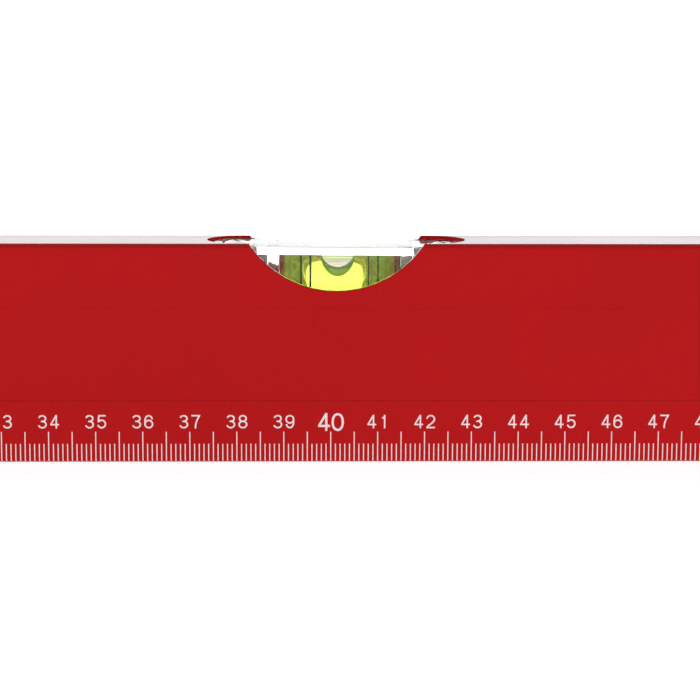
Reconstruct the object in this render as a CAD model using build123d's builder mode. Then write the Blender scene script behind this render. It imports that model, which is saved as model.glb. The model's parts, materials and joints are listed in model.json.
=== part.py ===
from build123d import *
import math
import os

# Spirit level, 800 mm class: a box section with end caps, a centre vial, a plumb vial
# and a 45 degree vial.
# +X runs along the level, -Y is the front face, +Z is up. The origin is at the centre of
# the bottom working face.

# ---------------------------------------------------------------- fits
FIT = 0.02                 # gap between pieces that touch
BUBBLE_GAP = 0.08          # gap round the bubbles
BUBBLE_END_GAP = 0.05      # from a bubble to the wall or plug it rests against
END_FLAT = 0.05            # half of the flat left in the middle of a rounded end

# ---------------------------------------------------------------- body profile
BODY_LENGTH = 798.0        # without the end caps
BODY_DEPTH = 18.0          # width of the top and bottom working faces
BODY_HEIGHT = 46.8
EDGE_R = 1.1               # rounding of the four long outer edges
SIDE_WALL = 1.3
FLANGE_WALL = 1.6          # top and bottom walls
WEB_T = 1.2                # two inner webs
WEB_LOW_Z = 13.4           # centre heights of the webs
WEB_HIGH_Z = 31.6
CELL_R = 0.4
# V grooves along each side face: height, width, depth
GROOVES = ((13.4, 0.40, 0.10), (33.2, 0.34, 0.04))

FACE_Y = BODY_DEPTH / 2
INNER_WIDTH = BODY_DEPTH - 2 * SIDE_WALL
WEB_TOP_Z = WEB_HIGH_Z + WEB_T / 2
# bottom and top of the three cells of the profile
CELLS = (
    (FLANGE_WALL, WEB_LOW_Z - WEB_T / 2),
    (WEB_LOW_Z + WEB_T / 2, WEB_HIGH_Z - WEB_T / 2),
    (WEB_TOP_Z, BODY_HEIGHT - FLANGE_WALL),
)

# ---------------------------------------------------------------- machined openings
WINDOW_R = 22.2            # cutter radius of the centre window, axis along Y
WINDOW_LOW_Z = 36.8        # lowest point of the window arc
WINDOW_Z = WINDOW_LOW_Z + WINDOW_R
WINDOW_RIM = 0.2           # chamfer round the centre window
SLOT_LENGTH = 55.2         # slot in the top face for the vial block
SLOT_CORNER_R = INNER_WIDTH / 2 - END_FLAT
END_WINDOW_X = 335.0       # plumb vial at +X, 45 degree vial at -X
END_WINDOW_Z = 27.5
END_WINDOW_R = 14.5

# ---------------------------------------------------------------- end caps
CAP_T = 2.3
CAP_INSET = 0.15           # flange outline inside that of the body
CAP_EDGE_R = 0.9
PANEL_SIDE_MARGIN = 3.2    # recessed panel, measured from the body outline
PANEL_END_MARGIN = 4.0
PANEL_CORNER_R = 2.0
PANEL_DEEP = 0.5
SPIGOT_DEEP = 14.0
SPIGOT_GAP = 0.12
SPIGOT_WALL = 1.3

# ---------------------------------------------------------------- centre vial
# Places are along the barrel from the middle of the block, and up from its top.
VIAL_X = 0.75
VIAL_TOP_Z = 46.2          # top of the block, just under the top working face
VIAL_TILT = 0.45           # degrees, right end down, as set by its two screws
EAR_LENGTH = 53.6
BLOCK_DEPTH = 14.9
EAR_T = 1.95
EAR_CORNER_R = BLOCK_DEPTH / 2 - END_FLAT
BARREL_OUTER_R = 5.55      # clear body round the bore
BARREL_OUTER_HALF = 13.0
BARREL_R = 3.8             # bore
BARREL_HALF = 11.5
BARREL_Z = -7.5
NECK_W = 3.2               # joins the barrel to the plate
NECK_HEIGHT = 1.2
NECK_DROP = 0.3            # centre of the neck under the plate
CHEEK_END = 15.5           # the flat cheeks run from the barrel's ends to here
CHEEK_OVERLAP = 0.2        # into the barrel
CHEEK_DEEP = 13.05
CHEEK_W = 12.6
PLUG_R = 2.6
PLUG_HOLE_OVERCUT = 0.5
PLUG_RIM_R = 3.3
PLUG_RIM_T = 0.5
PLUG_RIM_EDGE_R = 0.2
RING_X = (-8.1, -6.1, 6.1, 8.1)
RING_W = 0.28
RING_DEEP = 0.15
BUBBLE_X = -0.4            # the level rests a hair off level
BUBBLE_R = 3.6
BUBBLE_RISE = BARREL_R - BUBBLE_END_GAP   # bubble centre over the barrel axis

# its screws
SCREW_X = 22.0
EAR_HOLE_R = 1.75
HEAD_SEAT_R = 3.2
HEAD_SEAT_DEEP = 0.9
HEAD_R = 2.9
HEAD_T = 1.1
SHANK_R = 1.4
SHANK_CORE_R = SHANK_R - 0.35
SHANK_NECK_R = SHANK_R - 0.1
SHANK_LENGTH = 14.6
THREAD_FROM_Z = -2.6
THREAD_PITCH = 1.1
PILOT_GAP = 0.06           # round the shank, in the web
SLEEVE_R = 3.0
SLEEVE_BORE_GAP = 0.15     # round the shank
SLEEVE_TOP_GAP = 0.03      # under the ear
SLEEVE_SHORTENING = 0.1    # less than the distance from ear to web

TILT_SIN = math.sin(math.radians(VIAL_TILT))
TILT_COS = math.cos(math.radians(VIAL_TILT))

# ---------------------------------------------------------------- end vials
# Each is laid out from the middle of its window, which is also the middle of the tube.
BEZEL_SPLIT_GAP = 0.05     # from each half to the middle of the level
BEZEL_SLEEVE_R = 14.4
BEZEL_BORE_R = 13.1
BEZEL_FLANGE_R = 16.5
BEZEL_FLANGE_T = 1.2
BEZEL_RIM_R = 0.7
LINK_INSIDE = 0.5          # sleeve-to-flange link starts this far inside the side face
LINK_LENGTH = 0.6
BRIDGE_FROM = 6.4          # the bridges that clamp the tube start this far out
BRIDGE_TOP = 8.2
BRIDGE_OVERLAP = 0.3       # into the sleeve
TUBE_R = 5.2
TUBE_HALF = 12.0
TUBE_CHAMFER = 0.4
TUBE_SEAT_GAP = 0.06       # round the tube
TUBE_SEAT_END_GAP = 0.1
TUBE_BORE_R = 3.8
TUBE_BORE_OVERCUT = 1.0
TUBE_FLOOR = -10.3
TUBE_PLUG_FROM = 9.4
TUBE_PLUG_CHAMFER = 0.3
TUBE_RING_S = (-3.9, 3.9)
TUBE_RING_W = 0.5
TUBE_RING_DEEP = 0.12
TUBE_RING_OVERCUT = 0.5
TUBE_RING_GAP = 0.01       # under the ring
END_BUBBLE_A = 3.4         # half length along the tube
END_BUBBLE_B = 3.0         # half width

# bezel screws
END_SCREW_S = 8.9          # along the tube
END_SCREW_T = 7.0          # across the tube
END_SCREW_HEAD_DEEP = 1.7
END_SCREW_HEAD_HOLE_R = 1.9
END_SCREW_HOLE_R = 1.15    # through the back half
END_SCREW_PILOT_R = 1.0    # blind, in the front half
END_SCREW_PILOT_DEEP = 5.6
END_SHANK_R = 0.95
END_CORE_R = 0.7
END_THREAD_FROM_Z = -5.0
END_THREAD_PITCH = 0.8


# ================================================================ planes and export
def shifted(plane, along, sideways, out):
    """The plane moved within its own axes."""
    return Plane(
        origin=plane.from_local_coords(Vector(along, sideways, out)),
        x_dir=plane.x_dir,
        z_dir=plane.z_dir,
    )


def square_to(plane, along):
    """A plane square to the local x axis of the given one, at a distance along it."""
    return Plane(
        origin=plane.from_local_coords(Vector(along, 0, 0)),
        x_dir=plane.y_dir,
        z_dir=plane.x_dir,
    )


# top of the centre vial block, local x along the barrel
VIAL_PLANE = Plane(
    origin=(VIAL_X, 0, VIAL_TOP_Z),
    x_dir=(TILT_COS, 0, -TILT_SIN),
    z_dir=(TILT_SIN, 0, TILT_COS),
)
# the same through the axis of the barrel
BARREL_PLANE = shifted(VIAL_PLANE, 0, 0, BARREL_Z)


def save(builder, name):
    builder.part.label = name
    export_step(builder.part, f"parts/{name}.step")


# ================================================================ level body
def level_body():
    """Box section with its window, slot, pilot holes and end windows."""
    # the tilted screws meet the upper web this far along from their heads
    web_hole_shift = -(VIAL_TOP_Z - WEB_HIGH_Z) * TILT_SIN
    with BuildPart() as body:
        with BuildSketch(Plane.YZ.offset(-BODY_LENGTH / 2)):
            with Locations((0, BODY_HEIGHT / 2)):
                RectangleRounded(BODY_DEPTH, BODY_HEIGHT, EDGE_R)
            for low, high in CELLS:
                with Locations((0, (low + high) / 2)):
                    RectangleRounded(INNER_WIDTH, high - low, CELL_R, mode=Mode.SUBTRACT)
            for z, width, depth in GROOVES:
                for y, into in ((-FACE_Y, depth), (FACE_Y, -depth)):
                    Polygon(
                        (y, z - width / 2), (y + into, z), (y, z + width / 2),
                        align=None, mode=Mode.SUBTRACT,
                    )
        extrude(amount=BODY_LENGTH)
        # centre window, through both side walls and the top wall
        with BuildSketch(Plane.XZ):
            with Locations((0, WINDOW_Z)):
                Circle(WINDOW_R)
        extrude(amount=BODY_DEPTH, both=True, mode=Mode.SUBTRACT)
        # its rim broken on the outside of both walls
        for side in (-1, 1):
            with BuildSketch(Plane.XZ.offset(side * FACE_Y)):
                with Locations((0, WINDOW_Z)):
                    Circle(WINDOW_R + WINDOW_RIM)
            extrude(amount=-side * WINDOW_RIM, taper=45, mode=Mode.SUBTRACT)
        # slot in the top wall for the ears of the vial block
        with BuildSketch(Plane.XY.offset(BODY_HEIGHT)):
            RectangleRounded(SLOT_LENGTH, INNER_WIDTH, SLOT_CORNER_R)
        extrude(amount=-(FLANGE_WALL + CELL_R), mode=Mode.SUBTRACT)
        # pilot holes in the upper web for the two vial screws
        with BuildSketch(Plane.XY.offset(WEB_HIGH_Z + WEB_T)):
            with Locations(
                (VIAL_X - SCREW_X * TILT_COS + web_hole_shift, 0),
                (VIAL_X + SCREW_X * TILT_COS + web_hole_shift, 0),
            ):
                Circle(SHANK_R + PILOT_GAP)
        extrude(amount=-2 * WEB_T, mode=Mode.SUBTRACT)
        # round windows for the two end vials
        with BuildSketch(Plane.XZ):
            with Locations((-END_WINDOW_X, END_WINDOW_Z), (END_WINDOW_X, END_WINDOW_Z)):
                Circle(END_WINDOW_R)
        extrude(amount=BODY_DEPTH, both=True, mode=Mode.SUBTRACT)
    return body


# ================================================================ end caps
def end_cap(side):
    """Flange over the end of the profile, with a hollow spigot in each cell. side is +1 or -1."""
    face = Plane(origin=(side * BODY_LENGTH / 2, 0, 0), x_dir=(0, side, 0), z_dir=(side, 0, 0))
    spigot_width = INNER_WIDTH - 2 * SPIGOT_GAP
    with BuildPart() as cap:
        with BuildSketch(face):
            with Locations((0, BODY_HEIGHT / 2)):
                RectangleRounded(BODY_DEPTH - 2 * CAP_INSET, BODY_HEIGHT - 2 * CAP_INSET, EDGE_R)
        extrude(amount=CAP_T)
        outer = cap.faces().sort_by(Axis.X)[-1 if side > 0 else 0]
        fillet(outer.edges(), radius=CAP_EDGE_R)
        # a shallow recessed panel on the outside of the flange
        with BuildSketch(face.offset(CAP_T)):
            with Locations((0, BODY_HEIGHT / 2)):
                RectangleRounded(
                    BODY_DEPTH - 2 * PANEL_SIDE_MARGIN,
                    BODY_HEIGHT - 2 * PANEL_END_MARGIN,
                    PANEL_CORNER_R,
                )
        extrude(amount=-PANEL_DEEP, mode=Mode.SUBTRACT)
        for low, high in CELLS:
            spigot_height = high - low - 2 * SPIGOT_GAP
            with BuildSketch(face):
                with Locations((0, (low + high) / 2)):
                    RectangleRounded(spigot_width, spigot_height, CELL_R)
                    Rectangle(
                        spigot_width - 2 * SPIGOT_WALL,
                        spigot_height - 2 * SPIGOT_WALL,
                        mode=Mode.SUBTRACT,
                    )
            extrude(amount=-SPIGOT_DEEP)
    return cap


# ================================================================ screws
def thread_points(start_z, stop_z, pitch, crest_r, core_r, root):
    """Outline of a thread down to about stop_z, and the height where it ends.

    root is the length along the axis from the start of a turn to the foot of its ridge.
    """
    points = []
    z = start_z
    while z > stop_z:
        points += [(core_r, z - root), (crest_r, z - pitch / 2), (core_r, z - pitch + root)]
        z -= pitch
    return points, z


def cross_head_screw(outline, cross_length, cross_width, cross_turn, cross_deep):
    """Screw turned from its half outline (radius, height) that starts at the top of the head.

    The origin is under the head, +Z out of the head.
    """
    with BuildPart() as screw:
        with BuildSketch(Plane.XZ):
            with BuildLine():
                Polyline(*outline, close=True)
            make_face()
        revolve(axis=Axis.Z)
        with BuildSketch(Plane.XY.offset(outline[0][1])):
            Rectangle(cross_length, cross_width, rotation=cross_turn)
            Rectangle(cross_width, cross_length, rotation=cross_turn)
        extrude(amount=-cross_deep, mode=Mode.SUBTRACT)
    return screw.part


def vial_screw():
    """Pan-head tapping screw of the centre vial block."""
    head = [
        (0, HEAD_T), (HEAD_R * 0.55, HEAD_T), (HEAD_R * 0.86, HEAD_T - 0.28),
        (HEAD_R, HEAD_T - 0.75), (HEAD_R, FIT), (SHANK_NECK_R, FIT),
        (SHANK_NECK_R, THREAD_FROM_Z),
    ]
    thread, end_z = thread_points(
        THREAD_FROM_Z, -SHANK_LENGTH + 2.2, THREAD_PITCH, SHANK_R, SHANK_CORE_R, root=0.35
    )
    tip = [(SHANK_CORE_R, end_z - 0.5), (0, -SHANK_LENGTH)]
    return cross_head_screw(
        head + thread + tip, cross_length=3.0, cross_width=0.7, cross_turn=20, cross_deep=0.85
    )


def small_screw():
    """Small pan-head screw of the bezels."""
    head = [
        (0, 1.5), (1.0, 1.5), (1.5, 1.25), (1.75, 0.75), (1.75, FIT),
        (END_SHANK_R, FIT), (END_SHANK_R, END_THREAD_FROM_Z),
    ]
    thread, end_z = thread_points(
        END_THREAD_FROM_Z, -10.4, END_THREAD_PITCH, END_SHANK_R, END_CORE_R, root=0.2
    )
    tip = [(END_CORE_R, end_z - 0.2), (0, end_z - 1.0)]
    return cross_head_screw(
        head + thread + tip, cross_length=2.1, cross_width=0.5, cross_turn=35, cross_deep=0.8
    )


# ================================================================ centre vial
def centre_vial_block():
    """Clear ear plate that drops into the slot, over a round barrel between two flat cheeks."""
    with BuildPart() as block:
        with BuildSketch(VIAL_PLANE):
            RectangleRounded(EAR_LENGTH, BLOCK_DEPTH, EAR_CORNER_R)
        extrude(amount=-EAR_T)
        # barrel and neck
        with BuildSketch(square_to(BARREL_PLANE, -BARREL_OUTER_HALF)):
            Circle(BARREL_OUTER_R)
            with Locations((0, -EAR_T - NECK_DROP - BARREL_Z)):
                Rectangle(NECK_W, NECK_HEIGHT)
        extrude(amount=2 * BARREL_OUTER_HALF)
        # cheeks
        for side in (-1, 1):
            with BuildSketch(VIAL_PLANE.offset(-EAR_T / 2)):
                with Locations((side * (BARREL_OUTER_HALF + CHEEK_END - CHEEK_OVERLAP) / 2, 0)):
                    Rectangle(CHEEK_END - BARREL_OUTER_HALF + CHEEK_OVERLAP, CHEEK_W)
            extrude(amount=-(CHEEK_DEEP - EAR_T / 2))
        # bore, and the plug hole in its right end
        with BuildSketch(square_to(BARREL_PLANE, -BARREL_HALF)):
            Circle(BARREL_R)
        extrude(amount=2 * BARREL_HALF, mode=Mode.SUBTRACT)
        with BuildSketch(square_to(BARREL_PLANE, BARREL_HALF)):
            Circle(PLUG_R)
        extrude(amount=CHEEK_END - BARREL_HALF + PLUG_HOLE_OVERCUT, mode=Mode.SUBTRACT)
        # grooves for the four level rings
        for x in RING_X:
            with BuildSketch(square_to(BARREL_PLANE, x - RING_W / 2)):
                Circle(BARREL_R + RING_DEEP)
            extrude(amount=RING_W, mode=Mode.SUBTRACT)
        # screw holes in the ears, then seats for the heads
        for radius, depth in ((EAR_HOLE_R, EAR_T), (HEAD_SEAT_R, HEAD_SEAT_DEEP)):
            with BuildSketch(VIAL_PLANE):
                with Locations((-SCREW_X, 0), (SCREW_X, 0)):
                    Circle(radius)
            extrude(amount=-depth, mode=Mode.SUBTRACT)
    return block


def centre_vial_plug():
    with BuildPart() as plug:
        with BuildSketch(square_to(BARREL_PLANE, BARREL_HALF + FIT)):
            Circle(PLUG_R - FIT)
        extrude(amount=CHEEK_END - BARREL_HALF)
        with BuildSketch(square_to(BARREL_PLANE, CHEEK_END + FIT)):
            Circle(PLUG_RIM_R)
        extrude(amount=PLUG_RIM_T)
        fillet(plug.faces().sort_by(Axis.X)[-1].edges(), radius=PLUG_RIM_EDGE_R)
    return plug


def centre_vial_liquid():
    """Liquid, with the path of the bubble left free along the top of the barrel."""
    with BuildPart() as liquid:
        with BuildSketch(square_to(BARREL_PLANE, -BARREL_HALF + FIT)):
            Circle(BARREL_R - FIT)
            with Locations((0, BUBBLE_RISE)):
                Circle(BUBBLE_R + BUBBLE_GAP, mode=Mode.SUBTRACT)
        extrude(amount=2 * BARREL_HALF - 2 * FIT)
    return liquid


def centre_vial_bubble():
    """Ball cut to the round of the bore, so that it lies against the barrel's ceiling."""
    ball_plane = Plane(
        origin=BARREL_PLANE.from_local_coords(Vector(BUBBLE_X, 0, BUBBLE_RISE)),
        x_dir=BARREL_PLANE.x_dir,
        z_dir=(0, -1, 0),
    )
    with BuildPart() as bubble:
        with BuildSketch(square_to(BARREL_PLANE, BUBBLE_X - BUBBLE_R - 1)):
            Circle(BARREL_R - BUBBLE_GAP)
        extrude(amount=2 * BUBBLE_R + 2)
        with BuildSketch(ball_plane) as outline:
            Circle(BUBBLE_R)
            with Locations((0, -BUBBLE_R)):
                Rectangle(4 * BUBBLE_R, 2 * BUBBLE_R, mode=Mode.SUBTRACT)
        revolve(
            outline.sketch,
            axis=Axis(ball_plane.origin, ball_plane.x_dir),
            mode=Mode.INTERSECT,
        )
    return bubble


def centre_vial_rings():
    with BuildPart() as rings:
        for x in RING_X:
            with BuildSketch(square_to(BARREL_PLANE, x - RING_W / 2 + FIT)):
                Circle(BARREL_R + RING_DEEP - FIT)
                Circle(BARREL_R, mode=Mode.SUBTRACT)
            extrude(amount=RING_W - 2 * FIT)
    return rings


def centre_vial_screws():
    """Two screws through the ears into the upper web."""
    screw = vial_screw()
    with BuildPart() as screws:
        for x in (-SCREW_X, SCREW_X):
            add(shifted(VIAL_PLANE, x, 0, -HEAD_SEAT_DEEP).location * screw)
    return screws


def centre_vial_sleeves():
    """Rubber sleeves round the screws, between the ears and the upper web.

    The right one is squeezed further, which is what tilts the block.
    """
    with BuildPart() as sleeves:
        for x in (-SCREW_X, SCREW_X):
            top_to_web = VIAL_TOP_Z - x * TILT_SIN - WEB_TOP_Z
            with BuildSketch(VIAL_PLANE.offset(-EAR_T - SLEEVE_TOP_GAP)):
                with Locations((x, 0)):
                    Circle(SLEEVE_R)
                    Circle(SHANK_R + SLEEVE_BORE_GAP, mode=Mode.SUBTRACT)
            extrude(amount=-(top_to_web - EAR_T - SLEEVE_SHORTENING))
    return sleeves


# ================================================================ end vials
# Their planes have local x along the tube and local z out of the level.
def screw_places(t_sign):
    """Places of the two bezel screws: t_sign is +1 on the front plane, -1 on the back one."""
    return [(END_SCREW_S, t_sign * END_SCREW_T), (-END_SCREW_S, -t_sign * END_SCREW_T)]


def bezel(plane, t_sign):
    """One half of the round bezel: sleeve, flange and the two bridges that clamp the tube."""
    places = screw_places(t_sign)
    with BuildPart() as half:
        with BuildSketch(plane.offset(BEZEL_SPLIT_GAP)):
            Circle(BEZEL_SLEEVE_R)
            Circle(BEZEL_BORE_R, mode=Mode.SUBTRACT)
        extrude(amount=FACE_Y - BEZEL_SPLIT_GAP)
        # bridges
        with BuildSketch(plane.offset(BEZEL_SPLIT_GAP)):
            Circle(BEZEL_BORE_R + BRIDGE_OVERLAP)
            Rectangle(2 * BRIDGE_FROM, 4 * BEZEL_BORE_R, mode=Mode.SUBTRACT)
        extrude(amount=BRIDGE_TOP - BEZEL_SPLIT_GAP)
        # flange, rounded on its outer rim
        with BuildSketch(plane.offset(FACE_Y + FIT)):
            Circle(BEZEL_FLANGE_R)
            Circle(BEZEL_BORE_R, mode=Mode.SUBTRACT)
        extrude(amount=BEZEL_FLANGE_T)
        rim = half.edges().filter_by(GeomType.CIRCLE).sort_by(
            SortBy.RADIUS
        )[-2:].sort_by(Axis(plane.origin, plane.z_dir))[-1]
        fillet(rim, radius=BEZEL_RIM_R)
        # link between sleeve and flange across the face of the profile
        with BuildSketch(plane.offset(FACE_Y - LINK_INSIDE)):
            Circle(BEZEL_SLEEVE_R)
            Circle(BEZEL_BORE_R, mode=Mode.SUBTRACT)
        extrude(amount=LINK_LENGTH)
        # seat of the tube
        with BuildSketch(square_to(plane, -TUBE_HALF - TUBE_SEAT_END_GAP)):
            Circle(TUBE_R + TUBE_SEAT_GAP)
        extrude(amount=2 * (TUBE_HALF + TUBE_SEAT_END_GAP), mode=Mode.SUBTRACT)
        if t_sign > 0:
            # the screws bite in the front half
            with BuildSketch(plane.offset(BEZEL_SPLIT_GAP)):
                with Locations(*places):
                    Circle(END_SCREW_PILOT_R)
            extrude(amount=END_SCREW_PILOT_DEEP, mode=Mode.SUBTRACT)
        else:
            # they pass through the back half, which also takes their heads
            with BuildSketch(plane.offset(BEZEL_SPLIT_GAP)):
                with Locations(*places):
                    Circle(END_SCREW_HOLE_R)
            extrude(amount=BRIDGE_TOP, mode=Mode.SUBTRACT)
            with BuildSketch(plane.offset(BRIDGE_TOP)):
                with Locations(*places):
                    Circle(END_SCREW_HEAD_HOLE_R)
            extrude(amount=-END_SCREW_HEAD_DEEP, mode=Mode.SUBTRACT)
    return half


def tube(plane):
    """Acrylic tube, closed at the low end and open at the plug end, with two ring grooves."""
    with BuildPart() as body:
        with BuildSketch(square_to(plane, -TUBE_HALF)):
            Circle(TUBE_R)
        extrude(amount=2 * TUBE_HALF)
        chamfer(body.edges(), length=TUBE_CHAMFER)
        with BuildSketch(square_to(plane, TUBE_FLOOR)):
            Circle(TUBE_BORE_R)
        extrude(amount=TUBE_HALF - TUBE_FLOOR + TUBE_BORE_OVERCUT, mode=Mode.SUBTRACT)
        for s in TUBE_RING_S:
            with BuildSketch(square_to(plane, s - TUBE_RING_W / 2)):
                Circle(TUBE_R + TUBE_RING_OVERCUT)
                Circle(TUBE_R - TUBE_RING_DEEP, mode=Mode.SUBTRACT)
            extrude(amount=TUBE_RING_W, mode=Mode.SUBTRACT)
    return body


def tube_plug(plane):
    with BuildPart() as plug:
        with BuildSketch(square_to(plane, TUBE_PLUG_FROM)):
            Circle(TUBE_BORE_R - FIT)
        extrude(amount=TUBE_HALF - TUBE_PLUG_FROM)
        chamfer(plug.edges(), length=TUBE_PLUG_CHAMFER)
    return plug


def tube_rings(plane):
    with BuildPart() as rings:
        for s in TUBE_RING_S:
            with BuildSketch(square_to(plane, s - TUBE_RING_W / 2 + FIT)):
                Circle(TUBE_R)
                Circle(TUBE_R - TUBE_RING_DEEP + TUBE_RING_GAP, mode=Mode.SUBTRACT)
            extrude(amount=TUBE_RING_W - 2 * FIT)
    return rings


def tube_liquid(plane):
    """Liquid in the tube, with the path of the bubble left free along its middle."""
    with BuildPart() as liquid:
        with BuildSketch(square_to(plane, TUBE_FLOOR + FIT)):
            Circle(TUBE_BORE_R - FIT)
            Circle(END_BUBBLE_B + BUBBLE_GAP, mode=Mode.SUBTRACT)
        extrude(amount=TUBE_PLUG_FROM - TUBE_FLOOR - 2 * FIT)
    return liquid


def tube_bubble(plane):
    """Bubble at the high end of the tube, where it rests while the level lies flat."""
    centre = shifted(plane, TUBE_PLUG_FROM - END_BUBBLE_A - BUBBLE_END_GAP, 0, 0)
    with BuildPart() as bubble:
        with BuildSketch(centre) as outline:
            Ellipse(END_BUBBLE_A, END_BUBBLE_B)
            with Locations((0, -END_BUBBLE_B)):
                Rectangle(4 * END_BUBBLE_A, 2 * END_BUBBLE_B, mode=Mode.SUBTRACT)
        revolve(outline.sketch, axis=Axis(centre.origin, centre.x_dir))
    return bubble


def bezel_screws(plane):
    """Two small screws that pull the bezel halves together from the back."""
    screw = small_screw()
    with BuildPart() as screws:
        for s, t in screw_places(-1):
            add(shifted(plane, s, t, BRIDGE_TOP - END_SCREW_HEAD_DEEP).location * screw)
    return screws


def save_end_vial(name, x, along):
    """All pieces of the end vial at x, with its tube pointing along the given direction."""
    origin = (x, 0, END_WINDOW_Z)
    front = Plane(origin=origin, x_dir=along, z_dir=(0, -1, 0))
    back = Plane(origin=origin, x_dir=along, z_dir=(0, 1, 0))
    save(bezel(front, 1), f"{name}_bezel_front")
    save(bezel(back, -1), f"{name}_bezel_back")
    save(tube(front), f"{name}_vial_tube")
    save(tube_plug(front), f"{name}_vial_plug")
    save(tube_rings(front), f"{name}_vial_rings")
    save(tube_liquid(front), f"{name}_vial_liquid")
    save(tube_bubble(front), f"{name}_vial_bubble")
    save(bezel_screws(back), f"{name}_bezel_screws")


# ================================================================ all pieces
os.makedirs("parts", exist_ok=True)

save(level_body(), "level_body")
save(end_cap(1), "end_cap_right")
save(end_cap(-1), "end_cap_left")

save(centre_vial_block(), "centre_vial_block")
save(centre_vial_plug(), "centre_vial_plug")
save(centre_vial_liquid(), "centre_vial_liquid")
save(centre_vial_bubble(), "centre_vial_bubble")
save(centre_vial_rings(), "centre_vial_rings")
save(centre_vial_screws(), "centre_vial_screws")
save(centre_vial_sleeves(), "centre_vial_sleeves")

HALF_ROOT = math.sqrt(0.5)
save_end_vial("plumb", END_WINDOW_X, along=(0, 0, 1))
save_end_vial("angle", -END_WINDOW_X, along=(HALF_ROOT, 0, HALF_ROOT))
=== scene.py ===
"""Spirit level with a printed centimetre scale, a centre vial and two end vials.

Metres. +X runs along the level, -Y is the scale face, +Z is up, and the foot stands at z = 0.
"""
import json
import math
from collections import namedtuple
from contextlib import contextmanager

import bmesh
import bpy
import numpy as np
from mathutils import Matrix, Vector


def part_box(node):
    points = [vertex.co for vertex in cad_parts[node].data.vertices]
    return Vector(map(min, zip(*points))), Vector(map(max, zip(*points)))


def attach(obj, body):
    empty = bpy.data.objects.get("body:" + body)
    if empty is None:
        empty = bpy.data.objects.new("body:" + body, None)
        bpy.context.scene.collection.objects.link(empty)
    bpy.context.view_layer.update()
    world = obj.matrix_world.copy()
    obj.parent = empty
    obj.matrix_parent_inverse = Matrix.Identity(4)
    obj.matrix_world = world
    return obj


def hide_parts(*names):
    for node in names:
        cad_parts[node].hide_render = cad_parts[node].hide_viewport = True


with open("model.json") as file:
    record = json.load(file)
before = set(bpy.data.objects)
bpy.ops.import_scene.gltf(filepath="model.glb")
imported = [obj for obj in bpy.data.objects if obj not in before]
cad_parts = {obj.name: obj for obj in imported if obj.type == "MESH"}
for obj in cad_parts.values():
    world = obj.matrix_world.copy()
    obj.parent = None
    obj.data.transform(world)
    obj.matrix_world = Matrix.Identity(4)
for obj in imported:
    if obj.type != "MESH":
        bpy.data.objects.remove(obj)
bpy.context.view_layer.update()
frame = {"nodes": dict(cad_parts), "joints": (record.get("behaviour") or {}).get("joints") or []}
MM = 0.001

# --------------------------------------------------------------------------- scale sizes
BODY_LO, BODY_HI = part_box("level_body")
CAP_LO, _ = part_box("end_cap_left")
FACE_Y = BODY_LO.y
EDGE_R = 1.1 * MM                   # rounding of the lower front edge
EDGE_STEP = 11                      # degrees between the rows of a tick round that edge
ZERO_X = CAP_LO.x + 0.1 * MM        # the scale starts at the outer face of the left cap
LAST_NUMBER = 79

INK_T = 0.035 * MM                  # how far the print stands proud
NUMBER_SINK = 0.004 * MM
TICK_SINK = 0.006 * MM
TICK_W = 0.215 * MM
TICK_FOOT_Z = 0.22 * MM
LONG_TICK_Z, SHORT_TICK_Z = 6.65 * MM, 4.05 * MM
TICK_MARGIN = 0.4 * MM              # ends of the body left without ticks

# height, pitch and base are in metres; width and pen are fractions of the height
NumberStyle = namedtuple("NumberStyle", "height width pen pitch base")
PLAIN = NumberStyle(2.92 * MM, 0.66, 0.110, 2.58 * MM, 7.37 * MM)
BOLD = NumberStyle(3.86 * MM, 0.68, 0.122, 2.96 * MM, 6.80 * MM)
GLYPH_STEP = 0.03                   # tracing grid, as a fraction of the height
THIN_OFFSET, THIN_REACH = 0.0025, 0.12

# --------------------------------------------------------------------------- centre vial sizes
# In mm in the vial's own frame: x along the barrel, y across, z up from the top of its block.
VIAL_X, VIAL_TOP = 0.75, 46.2       # the origin of that frame on the level, in mm
VIAL_TILT = 0.45                    # degrees
EAR_HALF, EAR_W, EAR_T, EAR_CORNER_R = 26.8, 14.9, 1.95, 7.4
OUTER_R, OUTER_HALF, OUTER_RIM = 5.55, 13.0, 0.35
BARREL_R, BARREL_HALF, BARREL_Z = 3.8, 11.5, -7.5
NECK_W, CHEEK_W, CHEEK_END, CHEEK_DEEP = 3.2, 12.6, 15.5, 13.05
OVERLAP = 0.2                       # how far the neck and cheeks enter the barrel's ends
SEAT_X = 22.0
BUBBLE_R, BUBBLE_X = 3.6, -0.4
BUBBLE_Z = BARREL_Z + BARREL_R - 0.05
BUBBLE_GAP, BUBBLE_BLEND = 0.07, 0.5

# --------------------------------------------------------------------------- end vial sizes, mm
END_VIAL_X, END_VIAL_Z = 335.0, 27.5
TUBE_R, TUBE_HALF, TUBE_RIM, TUBE_STRAIGHT = 5.2, 12.0, 0.8, 11.0
COLUMN_R, COLUMN_LO, COLUMN_HI = 3.8, -10.3, 9.35
PLUG_FACE = 9.4
EGG_R, EGG_HALF, EGG_GAP = 3.0, 3.4, 0.05

N_ACRYLIC = 1.455
N_LIQUID = 1.4565


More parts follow.
